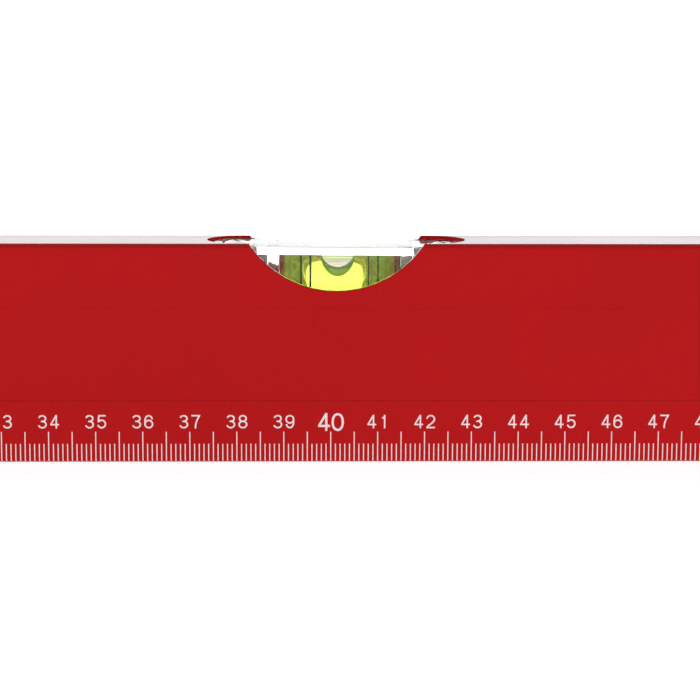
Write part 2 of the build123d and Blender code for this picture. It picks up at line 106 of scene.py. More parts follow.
# --------------------------------------------------------------------------- shader graphs
class Graph:
    """Short calls for building a node tree. A node given as a value stands for its first output."""

    def __init__(self, tree, space):
        self.tree = tree
        self.place = self.node("ShaderNodeTexCoord").outputs[space]

    def feed(self, socket, value):
        if isinstance(value, bpy.types.Node):
            value = value.outputs[0]
        if isinstance(value, bpy.types.NodeSocket):
            self.tree.links.new(value, socket)
        elif socket.type == "RGBA":
            socket.default_value = (*value, 1.0)
        else:
            socket.default_value = value

    def node(self, kind, settings=(), **inputs):
        """A node with inputs set by name, an underscore standing for a space."""
        node = self.tree.nodes.new(kind)
        for name, value in dict(settings).items():
            setattr(node, name, value)
        for name, value in inputs.items():
            self.feed(node.inputs[name.replace("_", " ")], value)
        return node

    def join(self, kind, values, settings=()):
        """A node whose first inputs are set in order."""
        node = self.node(kind, settings)
        for socket, value in zip(node.inputs, values):
            self.feed(socket, value)
        return node

    def maths(self, operation, *values):
        return self.join("ShaderNodeMath", values, {"operation": operation})

    def chain(self, operation, first, *others):
        for other in others:
            first = self.maths(operation, first, other)
        return first

    def total(self, *values):
        return self.chain("ADD", *values)

    def product(self, *values):
        return self.chain("MULTIPLY", *values)

    def diagonal(self, a, b):
        return self.maths("SQRT", self.total(self.product(a, a), self.product(b, b)))

    def split(self, vector):
        return self.node("ShaderNodeSeparateXYZ", Vector=vector).outputs

    def mix(self, factor, low, high):
        """Colour going from low to high as the factor goes from 0 to 1."""
        node = self.node("ShaderNodeMix", {"data_type": "RGBA"})
        for index, value in ((0, factor), (6, low), (7, high)):
            self.feed(node.inputs[index], value)
        return node.outputs[2]

    def remap(self, value, span=(0.3, 0.7), to=(0.0, 1.0), smooth=False):
        """Clamped ramp; the default span is the useful range of a noise."""
        settings = {"clamp": True}
        if smooth:
            settings["interpolation_type"] = "SMOOTHSTEP"
        return self.join("ShaderNodeMapRange", (value, *span, *to), settings)

    def remap_mm(self, value, span, to=(0.0, 1.0), smooth=False):
        return self.remap(value, (span[0] * MM, span[1] * MM), to, smooth)

    def scaled(self, scale):
        return self.node("ShaderNodeMapping", Vector=self.place, Scale=scale)

    def noise(self, scale, detail=3.0, rough=0.5, distortion=0.0, vector=None):
        return self.node("ShaderNodeTexNoise", Scale=scale, Detail=detail, Roughness=rough,
                         Distortion=distortion, Vector=vector or self.place)

    def bevel(self, radius):
        return self.node("ShaderNodeBevel", {"samples": 4}, Radius=radius)

    def bump(self, height, strength, distance, **normal):
        return self.node("ShaderNodeBump", Strength=strength, Distance=distance, Height=height,
                         **normal)

    def principled(self, **inputs):
        return self.node("ShaderNodeBsdfPrincipled", **inputs)


class MaterialGraph(Graph):
    """Patterns use positions as stored in the mesh, so they stay on a piece when it moves."""

    def __init__(self, name):
        self.material = bpy.data.materials.new(name)
        self.material.use_nodes = True
        tree = self.material.node_tree
        tree.nodes.clear()
        self.output = tree.nodes.new("ShaderNodeOutputMaterial")
        super().__init__(tree, "Object")

    def finish(self, shader):
        self.feed(self.output.inputs[0], shader)
        return self.material


# --------------------------------------------------------------------------- red paint
def thin_coat(graph, y, z):
    """Strength of a pinkish strip towards the back edge of the top face, painted by position for
    the change in its reflection there: the painted shade at glancing angles is weaker and the coat
    less glossy.
    """
    steps = []
    for span, amount in (((1.0, 7.2), 0.34), ((6.5, 7.8), 0.66)):
        on_top = graph.remap_mm(z, span=(46.5, 46.7))
        steps.append(graph.product(on_top, graph.remap_mm(y, span=span, to=(0.0, amount))))
    return graph.total(*steps)


def gloss_coat(graph, y, z, cut_face):
    broad = graph.noise(scale=22.0, detail=2.0)
    fine = graph.noise(scale=1400.0, detail=2.0, rough=0.6)
    peel = graph.noise(scale=900.0, detail=2.0)
    red = graph.mix(graph.remap(broad), low=(0.425, 0.0006, 0.0018), high=(0.465, 0.0014, 0.0030))
    red = graph.mix(graph.remap(fine, span=(0.35, 0.75), to=(0.0, 0.16)),
                    low=red, high=(0.55, 0.008, 0.010))
    rough = graph.total(graph.remap(broad, to=(0.27, 0.36)), graph.remap(fine, to=(-0.03, 0.04)))
    edge = graph.bevel(radius=0.22 * MM)
    facing = graph.node("ShaderNodeLayerWeight", Blend=0.5, Normal=edge).outputs["Facing"]
    # thin holds the strength of that painted rear strip, which weakens the painted shade and the
    # coat's gloss
    thin = thin_coat(graph, y, z)

    # painted shade: the red is darker where it is seen at a glancing angle, less so on the rear
    # strip, and where the surface faces up
    glancing_shade = graph.maths("SUBTRACT", graph.remap(facing, span=(0.45, 0.88), to=(0.0, 0.78)),
                          graph.product(thin, 0.45))
    red = graph.mix(glancing_shade, low=red, high=(0.03, 0.0, 0.0))
    facing_up_shade = graph.remap(graph.split(edge)["Z"], span=(0.10, 0.80), to=(0.0, 0.40))
    red = graph.mix(facing_up_shade, low=red, high=(0.05, 0.0, 0.001))

    # the window's cut face is flecked with metal
    fleck = graph.noise(scale=1900.0, rough=0.7)
    flecked = graph.product(cut_face, graph.remap(fleck, span=(0.48, 0.58), to=(0.0, 0.85)))
    gloss = graph.product(
        graph.remap(facing, span=(0.78, 0.885), to=(0.0, 0.78)),
        graph.maths("SUBTRACT", 1.0, graph.product(thin, 0.55)),
    )
    return graph.principled(
        Base_Color=graph.mix(flecked, low=red, high=(0.62, 0.50, 0.30)),
        IOR=1.21, Roughness=rough, Coat_Weight=gloss, Coat_Roughness=0.2,
        Normal=graph.bump(peel, strength=0.10, distance=0.03 * MM, Normal=edge),
    )


def sprayed_metal(graph, x, window_distance):
    """Bare extruded aluminium with red overspray round the window, painted lighter towards the
    window's sides for the light that falls there.
    """
    flat = graph.scaled((1.0, 1.0, 3.5))
    mist = graph.noise(vector=flat, scale=700.0, detail=4.0, rough=0.70)
    speckle = graph.noise(vector=flat, scale=2100.0, detail=2.0, rough=0.6)
    away = graph.maths("ABSOLUTE", x)
    side_bands = graph.product(
        graph.remap_mm(away, span=(9.5, 12.0), to=(0.0, 0.75)),
        graph.remap_mm(away, span=(12.6, 13.4), to=(1.0, 0.0)),
    )
    droplets = graph.product(
        graph.remap_mm(window_distance, span=(22.2, 24.6), to=(1.0, 0.0)),
        graph.remap(speckle, span=(0.40, 0.60), to=(-0.55, 0.55)),
    )
    spray = graph.total(
        graph.remap_mm(window_distance, span=(22.3, 28.0), to=(0.62, 0.05)),
        graph.remap(mist, to=(-0.36, 0.36)),
        side_bands,
        droplets,
    )
    spray = graph.product(spray, graph.remap_mm(away, span=(13.0, 15.0), to=(1.0, 0.4)))

    # extrusion lines along X
    lines = graph.noise(vector=graph.scaled((6.0, 900.0, 900.0)), scale=1.0, rough=0.6)
    metal = graph.mix(graph.remap(lines), low=(0.66, 0.66, 0.66), high=(0.84, 0.83, 0.82))
    # painted light: past 13 mm from the middle the metal goes nearly white, for light that comes
    # down through the clear block onto the wall
    metal = graph.mix(graph.remap_mm(away, span=(13.0, 14.5), to=(0.0, 0.8)),
                      low=metal, high=(1.0, 0.99, 0.98))
    colour = graph.mix(graph.remap(spray, span=(0.0, 1.0), to=(0.0, 0.95)),
                       low=metal, high=(0.66, 0.045, 0.030))
    return graph.principled(Roughness=0.50, Metallic=0.3, Base_Color=colour,
                            Normal=graph.bump(lines, strength=0.25, distance=0.02 * MM))


def red_paint():
    """Gloss powder coat with painted shade and a painted rear strip; bare metal inside the top cell
    of the profile, round the window, painted lighter towards the window's sides.
    """
    window_centre_z = 59.0 * MM
    graph = MaterialGraph("red_powder_coat")
    x, y, z = graph.split(graph.place)
    from_middle = graph.maths("ABSOLUTE", y)
    inside = graph.product(
        graph.remap_mm(from_middle, span=(7.715, 7.735), to=(1.0, 0.0)),
        graph.remap_mm(z, span=(45.25, 45.35), to=(1.0, 0.0)),
        graph.remap_mm(z, span=(31.0, 32.0)),
        graph.remap_mm(graph.maths("ABSOLUTE", x), span=(33.0, 36.0), to=(1.0, 0.0)),
    )
    window_distance = graph.diagonal(graph.maths("SUBTRACT", z, window_centre_z), x)
    cut_face = graph.product(
        graph.remap_mm(window_distance, span=(22.21, 22.24), to=(1.0, 0.0)),
        graph.remap_mm(from_middle, span=(8.75, 8.80), to=(1.0, 0.0)),
    )
    coat = gloss_coat(graph, y, z, cut_face)
    bare = sprayed_metal(graph, x, window_distance)
    return graph.finish(graph.join("ShaderNodeMixShader", (inside, coat, bare)))


# --------------------------------------------------------------------------- opaque materials
def moulded(name, low, high, roughness, grain, depth):
    """Fine-grained plastic; low and high are the ends of its colour."""
    graph = MaterialGraph(name)
    grainy = graph.noise(scale=grain, rough=0.6)
    broad = graph.noise(scale=60.0, detail=2.0)
    edge = graph.bevel(radius=0.12 * MM)
    return graph.finish(graph.principled(
        Base_Color=graph.mix(graph.remap(broad), low=low, high=high),
        Roughness=graph.remap(broad, to=roughness),
        Normal=graph.bump(grainy, strength=0.35, distance=depth, Normal=edge),
    ))


def plated():
    graph = MaterialGraph("zinc_plated_steel")
    broad = graph.noise(scale=700.0, rough=0.6)
    swirl = graph.noise(scale=3500.0, detail=2.0)
    colour = graph.mix(graph.remap(broad), low=(0.60, 0.61, 0.62), high=(0.80, 0.80, 0.78))
    # painted shade: the colour goes near black in the recesses and gaps that ambient occlusion
    # finds
    openness = graph.node("ShaderNodeAmbientOcclusion", {"samples": 8}, Distance=0.8 * MM)
    unshaded_part = graph.remap(openness.outputs["AO"], span=(0.35, 0.85))
    return graph.finish(graph.principled(
        Base_Color=graph.mix(unshaded_part, low=(0.03, 0.03, 0.03), high=colour),
        Metallic=1.0,
        Roughness=graph.remap(swirl, to=(0.16, 0.30)),
        Normal=graph.bump(swirl, strength=0.08, distance=0.01 * MM),
    ))


def speckled(name, grain, low, high, span=(0.3, 0.7), relief=None, **surface):
    """Speckled colour from low to high; grain and relief are settings of the noise and bump."""
    graph = MaterialGraph(name)
    speck = graph.noise(**grain)
    colour = graph.mix(graph.remap(speck, span=span), low=low, high=high)
    if relief:
        surface["Normal"] = graph.bump(speck, **relief)
    return graph.finish(graph.principled(Base_Color=colour, **surface))


# --------------------------------------------------------------------------- clear materials
def sink_lines(graph, start):
    """Upright ripples low in the block, further than start mm from its middle."""
    x, _, z = graph.split(graph.place)
    end = graph.remap_mm(graph.maths("ABSOLUTE", x), span=(start, start + 0.3))
    low = graph.remap_mm(z, span=(43.6, 43.9), to=(1.0, 0.0))
    lines = graph.noise(vector=graph.scaled((1500.0, 260.0, 150.0)), scale=1.0, detail=2.0,
                        distortion=0.6)
    height = graph.product(lines, graph.product(end, low))
    return graph.bump(height, strength=0.55, distance=0.10 * MM)


def clear(name, tint, ior, sink_start=None):
    """Clear material; ior is relative to what lies round the piece."""
    graph = MaterialGraph(name)
    wave = graph.noise(scale=120.0, detail=2.0)
    lighter = tuple(min(1.0, 1.01 * channel) for channel in tint)
    glass = graph.node("ShaderNodeBsdfGlass", IOR=ior, Roughness=0.0,
                       Color=graph.mix(graph.remap(wave), low=tint, high=lighter))
    if sink_start:
        graph.feed(glass.inputs["Normal"], sink_lines(graph, sink_start))
    return graph.finish(glass)


def dyed_liquid():
    """Bends and tints what is behind it, and glows a little green where light falls on it."""
    graph = MaterialGraph("dyed_liquid")
    cloud = graph.noise(scale=420.0, detail=4.0, rough=0.65)
    tint = graph.mix(graph.remap(cloud, span=(0.32, 0.68)),
                     low=(0.84, 0.95, 0.31), high=(0.93, 0.97, 0.34))
    glass = graph.node("ShaderNodeBsdfGlass", IOR=N_LIQUID / N_ACRYLIC, Roughness=0.0, Color=tint)
    shine = graph.mix(graph.remap(cloud, span=(0.35, 0.65)),
                      low=(0.05, 0.19, 0.09), high=(0.13, 0.27, 0.11))
    glow = graph.node("ShaderNodeBsdfTranslucent", Color=shine)
    return graph.finish(graph.join("ShaderNodeAddShader", (glass, glow)))


def near_bore(graph, barrel_z, barrel_r, slope):
    """1 where the bubble lies against the bore of a sloping barrel; sizes in mm."""
    x, y, z = graph.split(graph.place)
    z = graph.maths("MULTIPLY_ADD", x, slope, z)
    z = graph.maths("SUBTRACT", z, barrel_z * MM)
    return graph.remap_mm(graph.diagonal(z, y), span=(barrel_r - 0.22, barrel_r - 0.09),
                          smooth=True)


def air_bubble(name, bore=None):
    """Air in the liquid: light through it misses part of the dye, so its tint is above 1.

    bore holds the arguments of near_bore for a bubble that touches its barrel.
    """
    graph = MaterialGraph(name)
    fresnel = graph.node("ShaderNodeFresnel", IOR=1.0 / N_LIQUID)
    wave = graph.noise(scale=90.0, detail=2.0)
    pale = graph.mix(graph.remap(wave), low=(0.84, 0.73, 1.76), high=(0.88, 0.75, 1.86))
    bend = graph.node("ShaderNodeBsdfRefraction", IOR=1.0 / N_LIQUID, Roughness=0.0, Color=pale)
    if bore:
        # the part against the ceiling of the barrel has no dye over it
        factor, other = near_bore(graph, **bore), (0.78, 0.72, 2.6)
    else:
        factor, other = graph.remap(wave), (0.98, 1.15, 1.24)
    side = graph.mix(factor, low=(0.94, 1.12, 1.20), high=other)
    mirror = graph.node("ShaderNodeBsdfGlossy", Roughness=0.0, Color=side)
    return graph.finish(graph.join("ShaderNodeMixShader", (fresnel, bend, mirror)))


RED = red_paint()
CAP = moulded("cap_plastic", low=(0.020, 0.020, 0.022), high=(0.034, 0.034, 0.036),
              roughness=(0.42, 0.56), grain=2200.0, depth=0.03 * MM)
BEZEL = moulded("bezel_plastic", low=(0.016, 0.016, 0.018), high=(0.026, 0.026, 0.028),
                roughness=(0.34, 0.46), grain=2600.0, depth=0.02 * MM)
PLATED = plated()
INK = speckled("white_screen_ink", dict(scale=2600.0, rough=0.6), span=(0.35, 0.7),
               low=(0.80, 0.64, 0.65), high=(0.96, 0.84, 0.85), IOR=1.3, Roughness=0.55)
RING = speckled("ring_ink", dict(scale=1800.0, detail=2.0),
                low=(0.006, 0.010, 0.004), high=(0.020, 0.028, 0.012), Roughness=0.6)
RUBBER = speckled("black_rubber", dict(scale=1500.0, rough=0.6),
                  low=(0.018, 0.018, 0.018), high=(0.035, 0.034, 0.033), Roughness=0.75,
                  relief=dict(strength=0.3, distance=0.02 * MM))
ACRYLIC_TINT = (0.985, 0.992, 0.990)
ACRYLIC = clear("clear_acrylic", tint=ACRYLIC_TINT, ior=N_ACRYLIC)
BLOCK_ACRYLIC = clear("block_acrylic", tint=ACRYLIC_TINT, ior=N_ACRYLIC, sink_start=12.9)
LIQUID = dyed_liquid()
AIR = air_bubble("air")
PLUG_CLEAR = clear("clear_plug", tint=(0.93, 0.96, 0.92), ior=1.03)
PLUG = moulded("plug_plastic", low=(0.030, 0.030, 0.030), high=(0.045, 0.045, 0.045),
               roughness=(0.3, 0.45), grain=2000.0, depth=0.02 * MM)


# --------------------------------------------------------------------------- mesh helpers
@contextmanager
def editing(mesh):
    geometry = bmesh.new()
    geometry.from_mesh(mesh)
    yield geometry
    geometry.to_mesh(mesh)
    geometry.free()


def link_object(name, data):
    obj = bpy.data.objects.new(name, data)
    bpy.context.scene.collection.objects.link(obj)
    return obj


def assign(obj, material):
    obj.data.materials.clear()
    obj.data.materials.append(material)


def face_outwards(mesh):
    with editing(mesh) as geometry:
        bmesh.ops.recalc_face_normals(geometry, faces=geometry.faces)


def shade(obj, sharp_angle):
    """Smooth shading; edges steeper than sharp_angle degrees, if given, stay sharp."""
    obj.data.shade_smooth()
    if sharp_angle:
        obj.data.set_sharp_from_angle(angle=math.radians(sharp_angle))


def mesh_object(name, verts, faces, material, body, smooth=False, sharp_angle=None,
                slot=None, replaces=None):
    mesh = bpy.data.meshes.new(name)
    mesh.from_pydata(verts, [], faces)
    mesh.validate()
    mesh.update()
    obj = link_object(name, mesh)
    face_outwards(mesh)
    if smooth:
        shade(obj, sharp_angle)
    assign(obj, material)
    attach(obj, body)
    if replaces:
        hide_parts(replaces)
    return obj


def lathe(profile, segments):
    """Solid of revolution about Z from (radius, z) pairs that start and end on the axis."""
    verts, rings = [], []
    for radius, z in profile:
        count = segments if radius > 0.0 else 1
        rings.append(list(range(len(verts), len(verts) + count)))
        for k in range(count):
            angle = 2 * math.pi * k / segments
            verts.append((radius * math.cos(angle), radius * math.sin(angle), z))
    faces = []
    for low, high in zip(rings, rings[1:]):
        for k in range(segments):
            m = (k + 1) % segments
            if len(low) == 1:
                faces.append((low[0], high[k], high[m]))
            elif len(high) == 1:
                faces.append((low[k], high[0], low[m]))
            else:
                faces.append((low[k], high[k], high[m], low[m]))
    return verts, faces


def lathe_along(profile, segments, place):
    """Lathe about a vial's own axis; place takes (along, across, side)."""
    verts, faces = lathe(profile, segments)
    return [place(z, x, y) for x, y, z in verts], faces


def rod_profile(radius, half, rim, straight, angles):
    """(radius, along) of a rod with rounded rims, straight between -straight and straight."""
    end = [(0.0, -half), (radius - rim, -half)]
    for angle in map(math.radians, angles):
        end.append((radius - rim + rim * math.sin(angle), -half + rim - rim * math.cos(angle)))
    end.append((radius, -straight))
    return end + [(r, -along) for r, along in reversed(end)]


def capsule_profile(radius, half, rounding, crown):
    """(radius, along) of a barrel with rounded ends, wider at the middle by crown."""
    end_steps, side_steps = 6, 28
    inner = radius - rounding
    profile = [(0.0, -half)]
    for i in range(end_steps + 1):
        angle = math.radians(90 * i / end_steps)
        profile.append((inner + rounding * math.sin(angle) - crown,
                        -half + rounding - rounding * math.cos(angle)))
    for i in range(1, side_steps):
        along = -half + rounding + (2 * half - 2 * rounding) * i / side_steps
        profile.append((radius - crown * (along / half) ** 2, along))
    for i in range(end_steps + 1):
        angle = math.radians(90 - 90 * i / end_steps)
        profile.append((inner + rounding * math.sin(angle) - crown,
                        half - rounding + rounding * math.cos(angle)))
    profile.append((0.0, half))
    return profile


def dome(field, centre, rings, segments, reach):
    """Closed mesh round centre, its points where field turns from negative to positive."""

    def ray(*direction):
        low, high = 0.0, reach
        for _ in range(26):
            middle = 0.5 * (low + high)
            if field([c + d * middle for c, d in zip(centre, direction)]) < 0:
                low = middle
            else:
                high = middle
        return tuple(c + d * low for c, d in zip(centre, direction))

    verts, faces = [ray(0, 0, 1)], []
    for i in range(1, rings):
        polar = math.pi * i / rings
        for k in range(segments):
            turn = 2 * math.pi * k / segments
            verts.append(ray(math.sin(polar) * math.cos(turn),
                             math.sin(polar) * math.sin(turn), math.cos(polar)))
    verts.append(ray(0, 0, -1))
    last = len(verts) - 1
    for k in range(segments):
        m = (k + 1) % segments
        faces.append((0, 1 + k, 1 + m))
        faces.append((last, last - segments + m, last - segments + k))
    for i in range(rings - 2):
        for k in range(segments):
            m = (k + 1) % segments
            upper, lower = 1 + i * segments, 1 + (i + 1) * segments
            faces.append((upper + k, lower + k, lower + m, upper + m))
    return verts, faces


# --------------------------------------------------------------------------- digits
def arc(centre_x, centre_y, radius_x, radius_y, start, end, steps, power=2.0):
    """Points of an elliptical arc, angles in degrees; a power above 2 squares it up."""
    points = []
    exponent = 2.0 / power
    for i in range(steps + 1):
        angle = math.radians(start + (end - start) * i / steps)
        c, s = math.cos(angle), math.sin(angle)
        points.append((centre_x + radius_x * math.copysign(abs(c) ** exponent, c),
                       centre_y + radius_y * math.copysign(abs(s) ** exponent, s)))
    return points


def digit_strokes(width, pen):
    """Centre lines of plain sans-serif digits 1 tall: {digit: [(points, flat start, flat end)]}."""
    half = pen / 2
    left, right, base, top = half, width - half, half, 1 - half
    mid, reach, tall = width / 2, (width - pen) / 2, top - base
    small, large = tall * 0.235, tall * 0.265       # bowls of 3 and 8
    stem_1, stem_4 = mid + 0.10 * width, 0.70 * width
    hook = arc(mid, top - reach * 0.98, reach, reach * 0.98, 172, -8, 20)
    hook_x, hook_y = hook[-1]
    tail = [(hook_x - 0.035, hook_y - 0.10), (hook_x - 0.11, hook_y - 0.19),
            (mid - 0.02, base + 0.24), (left + 0.09, base + 0.13), (left + 0.02, base)]
    bowl_5, bowl_6 = tall * 0.315, tall * 0.305
    strokes = {
        "0": [(arc(mid, 0.5, reach, tall / 2, 90, 450, 40, 2.25), False, False)],
        "1": [
            ([(stem_1, 0.0), (stem_1, 1.0)], True, True),
            (arc(stem_1 - 0.24, 1.0 - half, 0.24, 0.20, 0, -78, 8), False, True),
        ],
        "2": [
            (hook + tail, True, False),
            ([(left - half * 0.9, base), (right + half * 0.8, base)], True, True),
        ],
        "3": [
            (arc(mid, top - small, reach * 0.90, small, 168, -90, 20), True, False),
            (arc(mid, base + large, reach, large, 90, -168, 22), False, True),
            ([(mid - 0.09, top - 2 * small), (mid + 0.02, top - 2 * small)], True, False),
        ],
        "4": [
            ([(stem_4, 0.0), (stem_4, 1.0)], True, True),
            ([(left * 0.4, 0.285), (width, 0.285)], True, True),
            ([(stem_4 - 0.015, 0.955), (left + 0.015, 0.30)], False, False),
        ],
        "5": [
            ([(left + 0.075, top), (right + half * 0.5, top)], False, True),
            ([(left + 0.075, top), (left + 0.03, 0.49)], False, True),
            (arc(mid, base + bowl_5, reach, bowl_5, 142, -166, 24), False, True),
        ],
        "6": [
            (arc(mid, base + bowl_6, reach, bowl_6, 90, 450, 36), False, False),
            (arc(mid, 0.5, reach, tall / 2, 205, 22, 26, 2.15), False, True),
        ],
        "7": [
            ([(left - half * 0.9, top), (right, top)], True, False),
            ([(right, top), (right - 0.10, top - 0.16), (right - 0.20, top - 0.36),
              (right - 0.275, top - 0.60), (right - 0.305, 0.0)], False, True),
        ],
        "8": [
            (arc(mid, top - small, reach * 0.90, small, 90, 450, 32), False, False),
            (arc(mid, base + large, reach, large, 90, 450, 36), False, False),
        ],
    }
    # the 9 is the 6 turned half round
    strokes["9"] = [([(width - x, 1 - y) for x, y in points], flat_start, flat_end)
                    for points, flat_start, flat_end in strokes["6"]]
    return strokes


def stroke_field(strokes, pen, xs, ys):
    """Signed distance to the union of the strokes at each grid point, negative inside."""
    grid_x, grid_y = np.meshgrid(xs, ys)
    field = np.full(grid_x.shape, 9.0)
    for points, flat_start, flat_end in strokes:
        for i, ((x0, y0), (x1, y1)) in enumerate(zip(points, points[1:])):
            length = math.hypot(x1 - x0, y1 - y0)
            unit_x, unit_y = (x1 - x0) / length, (y1 - y0) / length
            along = (grid_x - x0) * unit_x + (grid_y - y0) * unit_y
            near = np.clip(along, 0, length)
            distance = np.hypot(grid_x - x0 - near * unit_x, grid_y - y0 - near * unit_y) - pen / 2
            if flat_start and i == 0:
                distance = np.maximum(distance, -along)
            if flat_end and i == len(points) - 2:
                distance = np.maximum(distance, along - length)
            field = np.minimum(field, distance)
    return field


def march(field, xs, ys):
    """Marching squares: the place of each crossed grid edge, and which crossings join.

    A grid edge is (row, column, horizontal).
    """
    places, links = {}, {}

    def crossing(j, i, horizontal):
        here = field[j, i]
        there = field[j, i + 1] if horizontal else field[j + 1, i]
        step = here / (here - there) * GLYPH_STEP
        return (xs[i] + step, ys[j]) if horizontal else (xs[i], ys[j] + step)

    for j in range(field.shape[0] - 1):
        for i in range(field.shape[1] - 1):
            within = [field[j, i] < 0, field[j, i + 1] < 0,
                      field[j + 1, i + 1] < 0, field[j + 1, i] < 0]
            edges = [(j, i, True), (j, i + 1, False), (j + 1, i, True), (j, i, False)]
            sides = [edges[k] for k in range(4) if within[k] != within[(k + 1) % 4]]
            if not sides:
                continue
            for side in sides:
                places[side] = crossing(*side)
            if len(sides) == 2:
                pairs = [(0, 1)]
            elif within[0] != (field[j:j + 2, i:i + 2].mean() < 0):
                pairs = [(0, 3), (1, 2)]
            else:
                pairs = [(0, 1), (2, 3)]
            for a, b in pairs:
                links.setdefault(sides[a], []).append(sides[b])
                links.setdefault(sides[b], []).append(sides[a])
    return places, links


def glyph_outlines(strokes, style):
    """Closed outlines of the union of the strokes."""
    pad = 2 * GLYPH_STEP
    xs = np.arange(-pad, style.width + pad + GLYPH_STEP, GLYPH_STEP)
    ys = np.arange(-pad, 1 + pad + GLYPH_STEP, GLYPH_STEP)
    places, links = march(stroke_field(strokes, style.pen, xs, ys), xs, ys)
    loops = []
    unused = set(links)
    while unused:
        start = min(unused)
        loop, previous, here = [], None, start
        while True:
            loop.append(places[here])
            unused.discard(here)
            onward = [k for k in links[here] if k != previous and (k in unused or k == start)]
            if not onward or (onward[0] == start and len(loop) > 2):
                break
            previous, here = here, onward[0]
        loops.append(thin(loop))
    return [loop for loop in loops if len(loop) > 3]


def thin(loop):
    """Drops points that lie almost on the line between their neighbours."""
    kept = [loop[0]]
    for i in range(1, len(loop)):
        before, here, after = kept[-1], loop[i], loop[(i + 1) % len(loop)]
        span_x, span_y = after[0] - before[0], after[1] - before[1]
        step_x, step_y = here[0] - before[0], here[1] - before[1]
        span = math.hypot(span_x, span_y)
        if (span > 1e-9 and abs(step_x * span_y - step_y * span_x) / span < THIN_OFFSET
                and math.hypot(step_x, step_y) < THIN_REACH):
            continue
        kept.append(here)
    return kept


def glyph_mesh(digit, style):
    """One digit lying in XZ, standing proud of y = 0 towards -Y."""
    curve = bpy.data.curves.new("glyph", "CURVE")
    curve.dimensions = "2D"
    curve.fill_mode = "BOTH"
    curve.extrude = INK_T / 2
    for loop in glyph_outlines(digit_strokes(style.width, style.pen)[digit], style):
        spline = curve.splines.new("POLY")
        spline.points.add(len(loop) - 1)
        for point, (x, y) in zip(spline.points, loop):
            point.co = ((x - style.width / 2) * style.height, y * style.height, 0, 1)
        spline.use_cyclic_u = True
    obj = link_object("glyph", curve)
    mesh = evaluated_mesh(obj)
    with editing(mesh) as geometry:
        bmesh.ops.remove_doubles(geometry, verts=geometry.verts, dist=1e-7)
        bmesh.ops.triangulate(geometry, faces=geometry.faces)
    verts = [(v.co.x, -v.co.z - INK_T / 2, v.co.y) for v in mesh.vertices]
    faces = [tuple(p.vertices) for p in mesh.polygons]
    bpy.data.objects.remove(obj)
    bpy.data.curves.remove(curve)
    bpy.data.meshes.remove(mesh)
    return verts, faces


def evaluated_mesh(obj):
    bpy.context.view_layer.update()
    depsgraph = bpy.context.evaluated_depsgraph_get()
    return bpy.data.meshes.new_from_object(obj.evaluated_get(depsgraph))


# --------------------------------------------------------------------------- printed scale
def scale_numbers():
    """A number each centimetre, every tenth one bold."""
    glyphs = {}
    verts, faces = [], []
    for number in range(1, LAST_NUMBER + 1):
        centre = ZERO_X + number * 10 * MM
        style = BOLD if number % 10 == 0 else PLAIN
        text = str(number)
        for k, digit in enumerate(text):
            if (digit, style) not in glyphs:
                glyphs[digit, style] = glyph_mesh(digit, style)
            glyph_verts, glyph_faces = glyphs[digit, style]
            shift = centre + (k - (len(text) - 1) / 2) * style.pitch
            first = len(verts)
            verts += [(x + shift, FACE_Y + y + NUMBER_SINK, z + style.base)
                      for x, y, z in glyph_verts]
            faces += [tuple(first + i for i in face) for face in glyph_faces]
    return verts, faces


def tick_rows(top_z):
    """((y, z), outward normal) down the front face and round its lower edge."""
    rows = [((FACE_Y, top_z), (-1.0, 0.0)), ((FACE_Y, EDGE_R), (-1.0, 0.0))]
    for angle in range(EDGE_STEP, 90, EDGE_STEP):
        normal = (-math.cos(math.radians(angle)), -math.sin(math.radians(angle)))
        z = EDGE_R + EDGE_R * normal[1]
        if z < TICK_FOOT_Z:
            break
        rows.append(((FACE_Y + EDGE_R + EDGE_R * normal[0], z), normal))
    return rows


def scale_ticks():
    """A tick each millimetre, every fifth one long."""
    verts, faces = [], []
    n = math.ceil((BODY_LO.x + TICK_MARGIN - ZERO_X) / MM)
    while ZERO_X + n * MM < BODY_HI.x - TICK_MARGIN:
        centre = ZERO_X + n * MM
        rows = tick_rows(LONG_TICK_Z if n % 5 == 0 else SHORT_TICK_Z)
        first = len(verts)
        for (y, z), (normal_y, normal_z) in rows:
            for lift in (-TICK_SINK, INK_T):
                for side in (-TICK_W / 2, TICK_W / 2):
                    verts.append((centre + side, y + normal_y * lift, z + normal_z * lift))
        for row in range(len(rows) - 1):
            a = first + 4 * row
            b = a + 4
            faces += [(a + 2, a + 3, b + 3, b + 2), (a, b, b + 1, a + 1),
                      (a, a + 2, b + 2, b), (a + 1, b + 1, b + 3, a + 3)]
        last = first + 4 * (len(rows) - 1)
        faces += [(first, first + 1, first + 3, first + 2), (last, last + 2, last + 3, last + 1)]
        n += 1
    return verts, faces


mesh_object("scale_numbers", *scale_numbers(), INK, "level")
mesh_object("scale_ticks", *scale_ticks(), INK, "level")

# --------------------------------------------------------------------------- centre vial
slide = next(j for j in frame["joints"] if j["name"] == "centre_bubble_slide")
ALONG = Vector(slide["axis"]).normalized()
UP = ALONG.cross(Vector((0, 1, 0)))
if UP.z < 0:
    UP = -UP
VIAL_ORIGIN = Vector((VIAL_X * MM, 0, VIAL_TOP * MM))
VIAL_AXES = Matrix((ALONG, (0, 1, 0), UP)).transposed()


def in_vial(x, y, z):
    """A point of the vial's own frame, in mm, as a place on the level."""
    return VIAL_ORIGIN + VIAL_AXES @ Vector((x * MM, y * MM, z * MM))


def solid(name, verts, faces):
    mesh = bpy.data.meshes.new(name)
    mesh.from_pydata(verts, [], faces)
    face_outwards(mesh)
    return link_object(name, mesh)


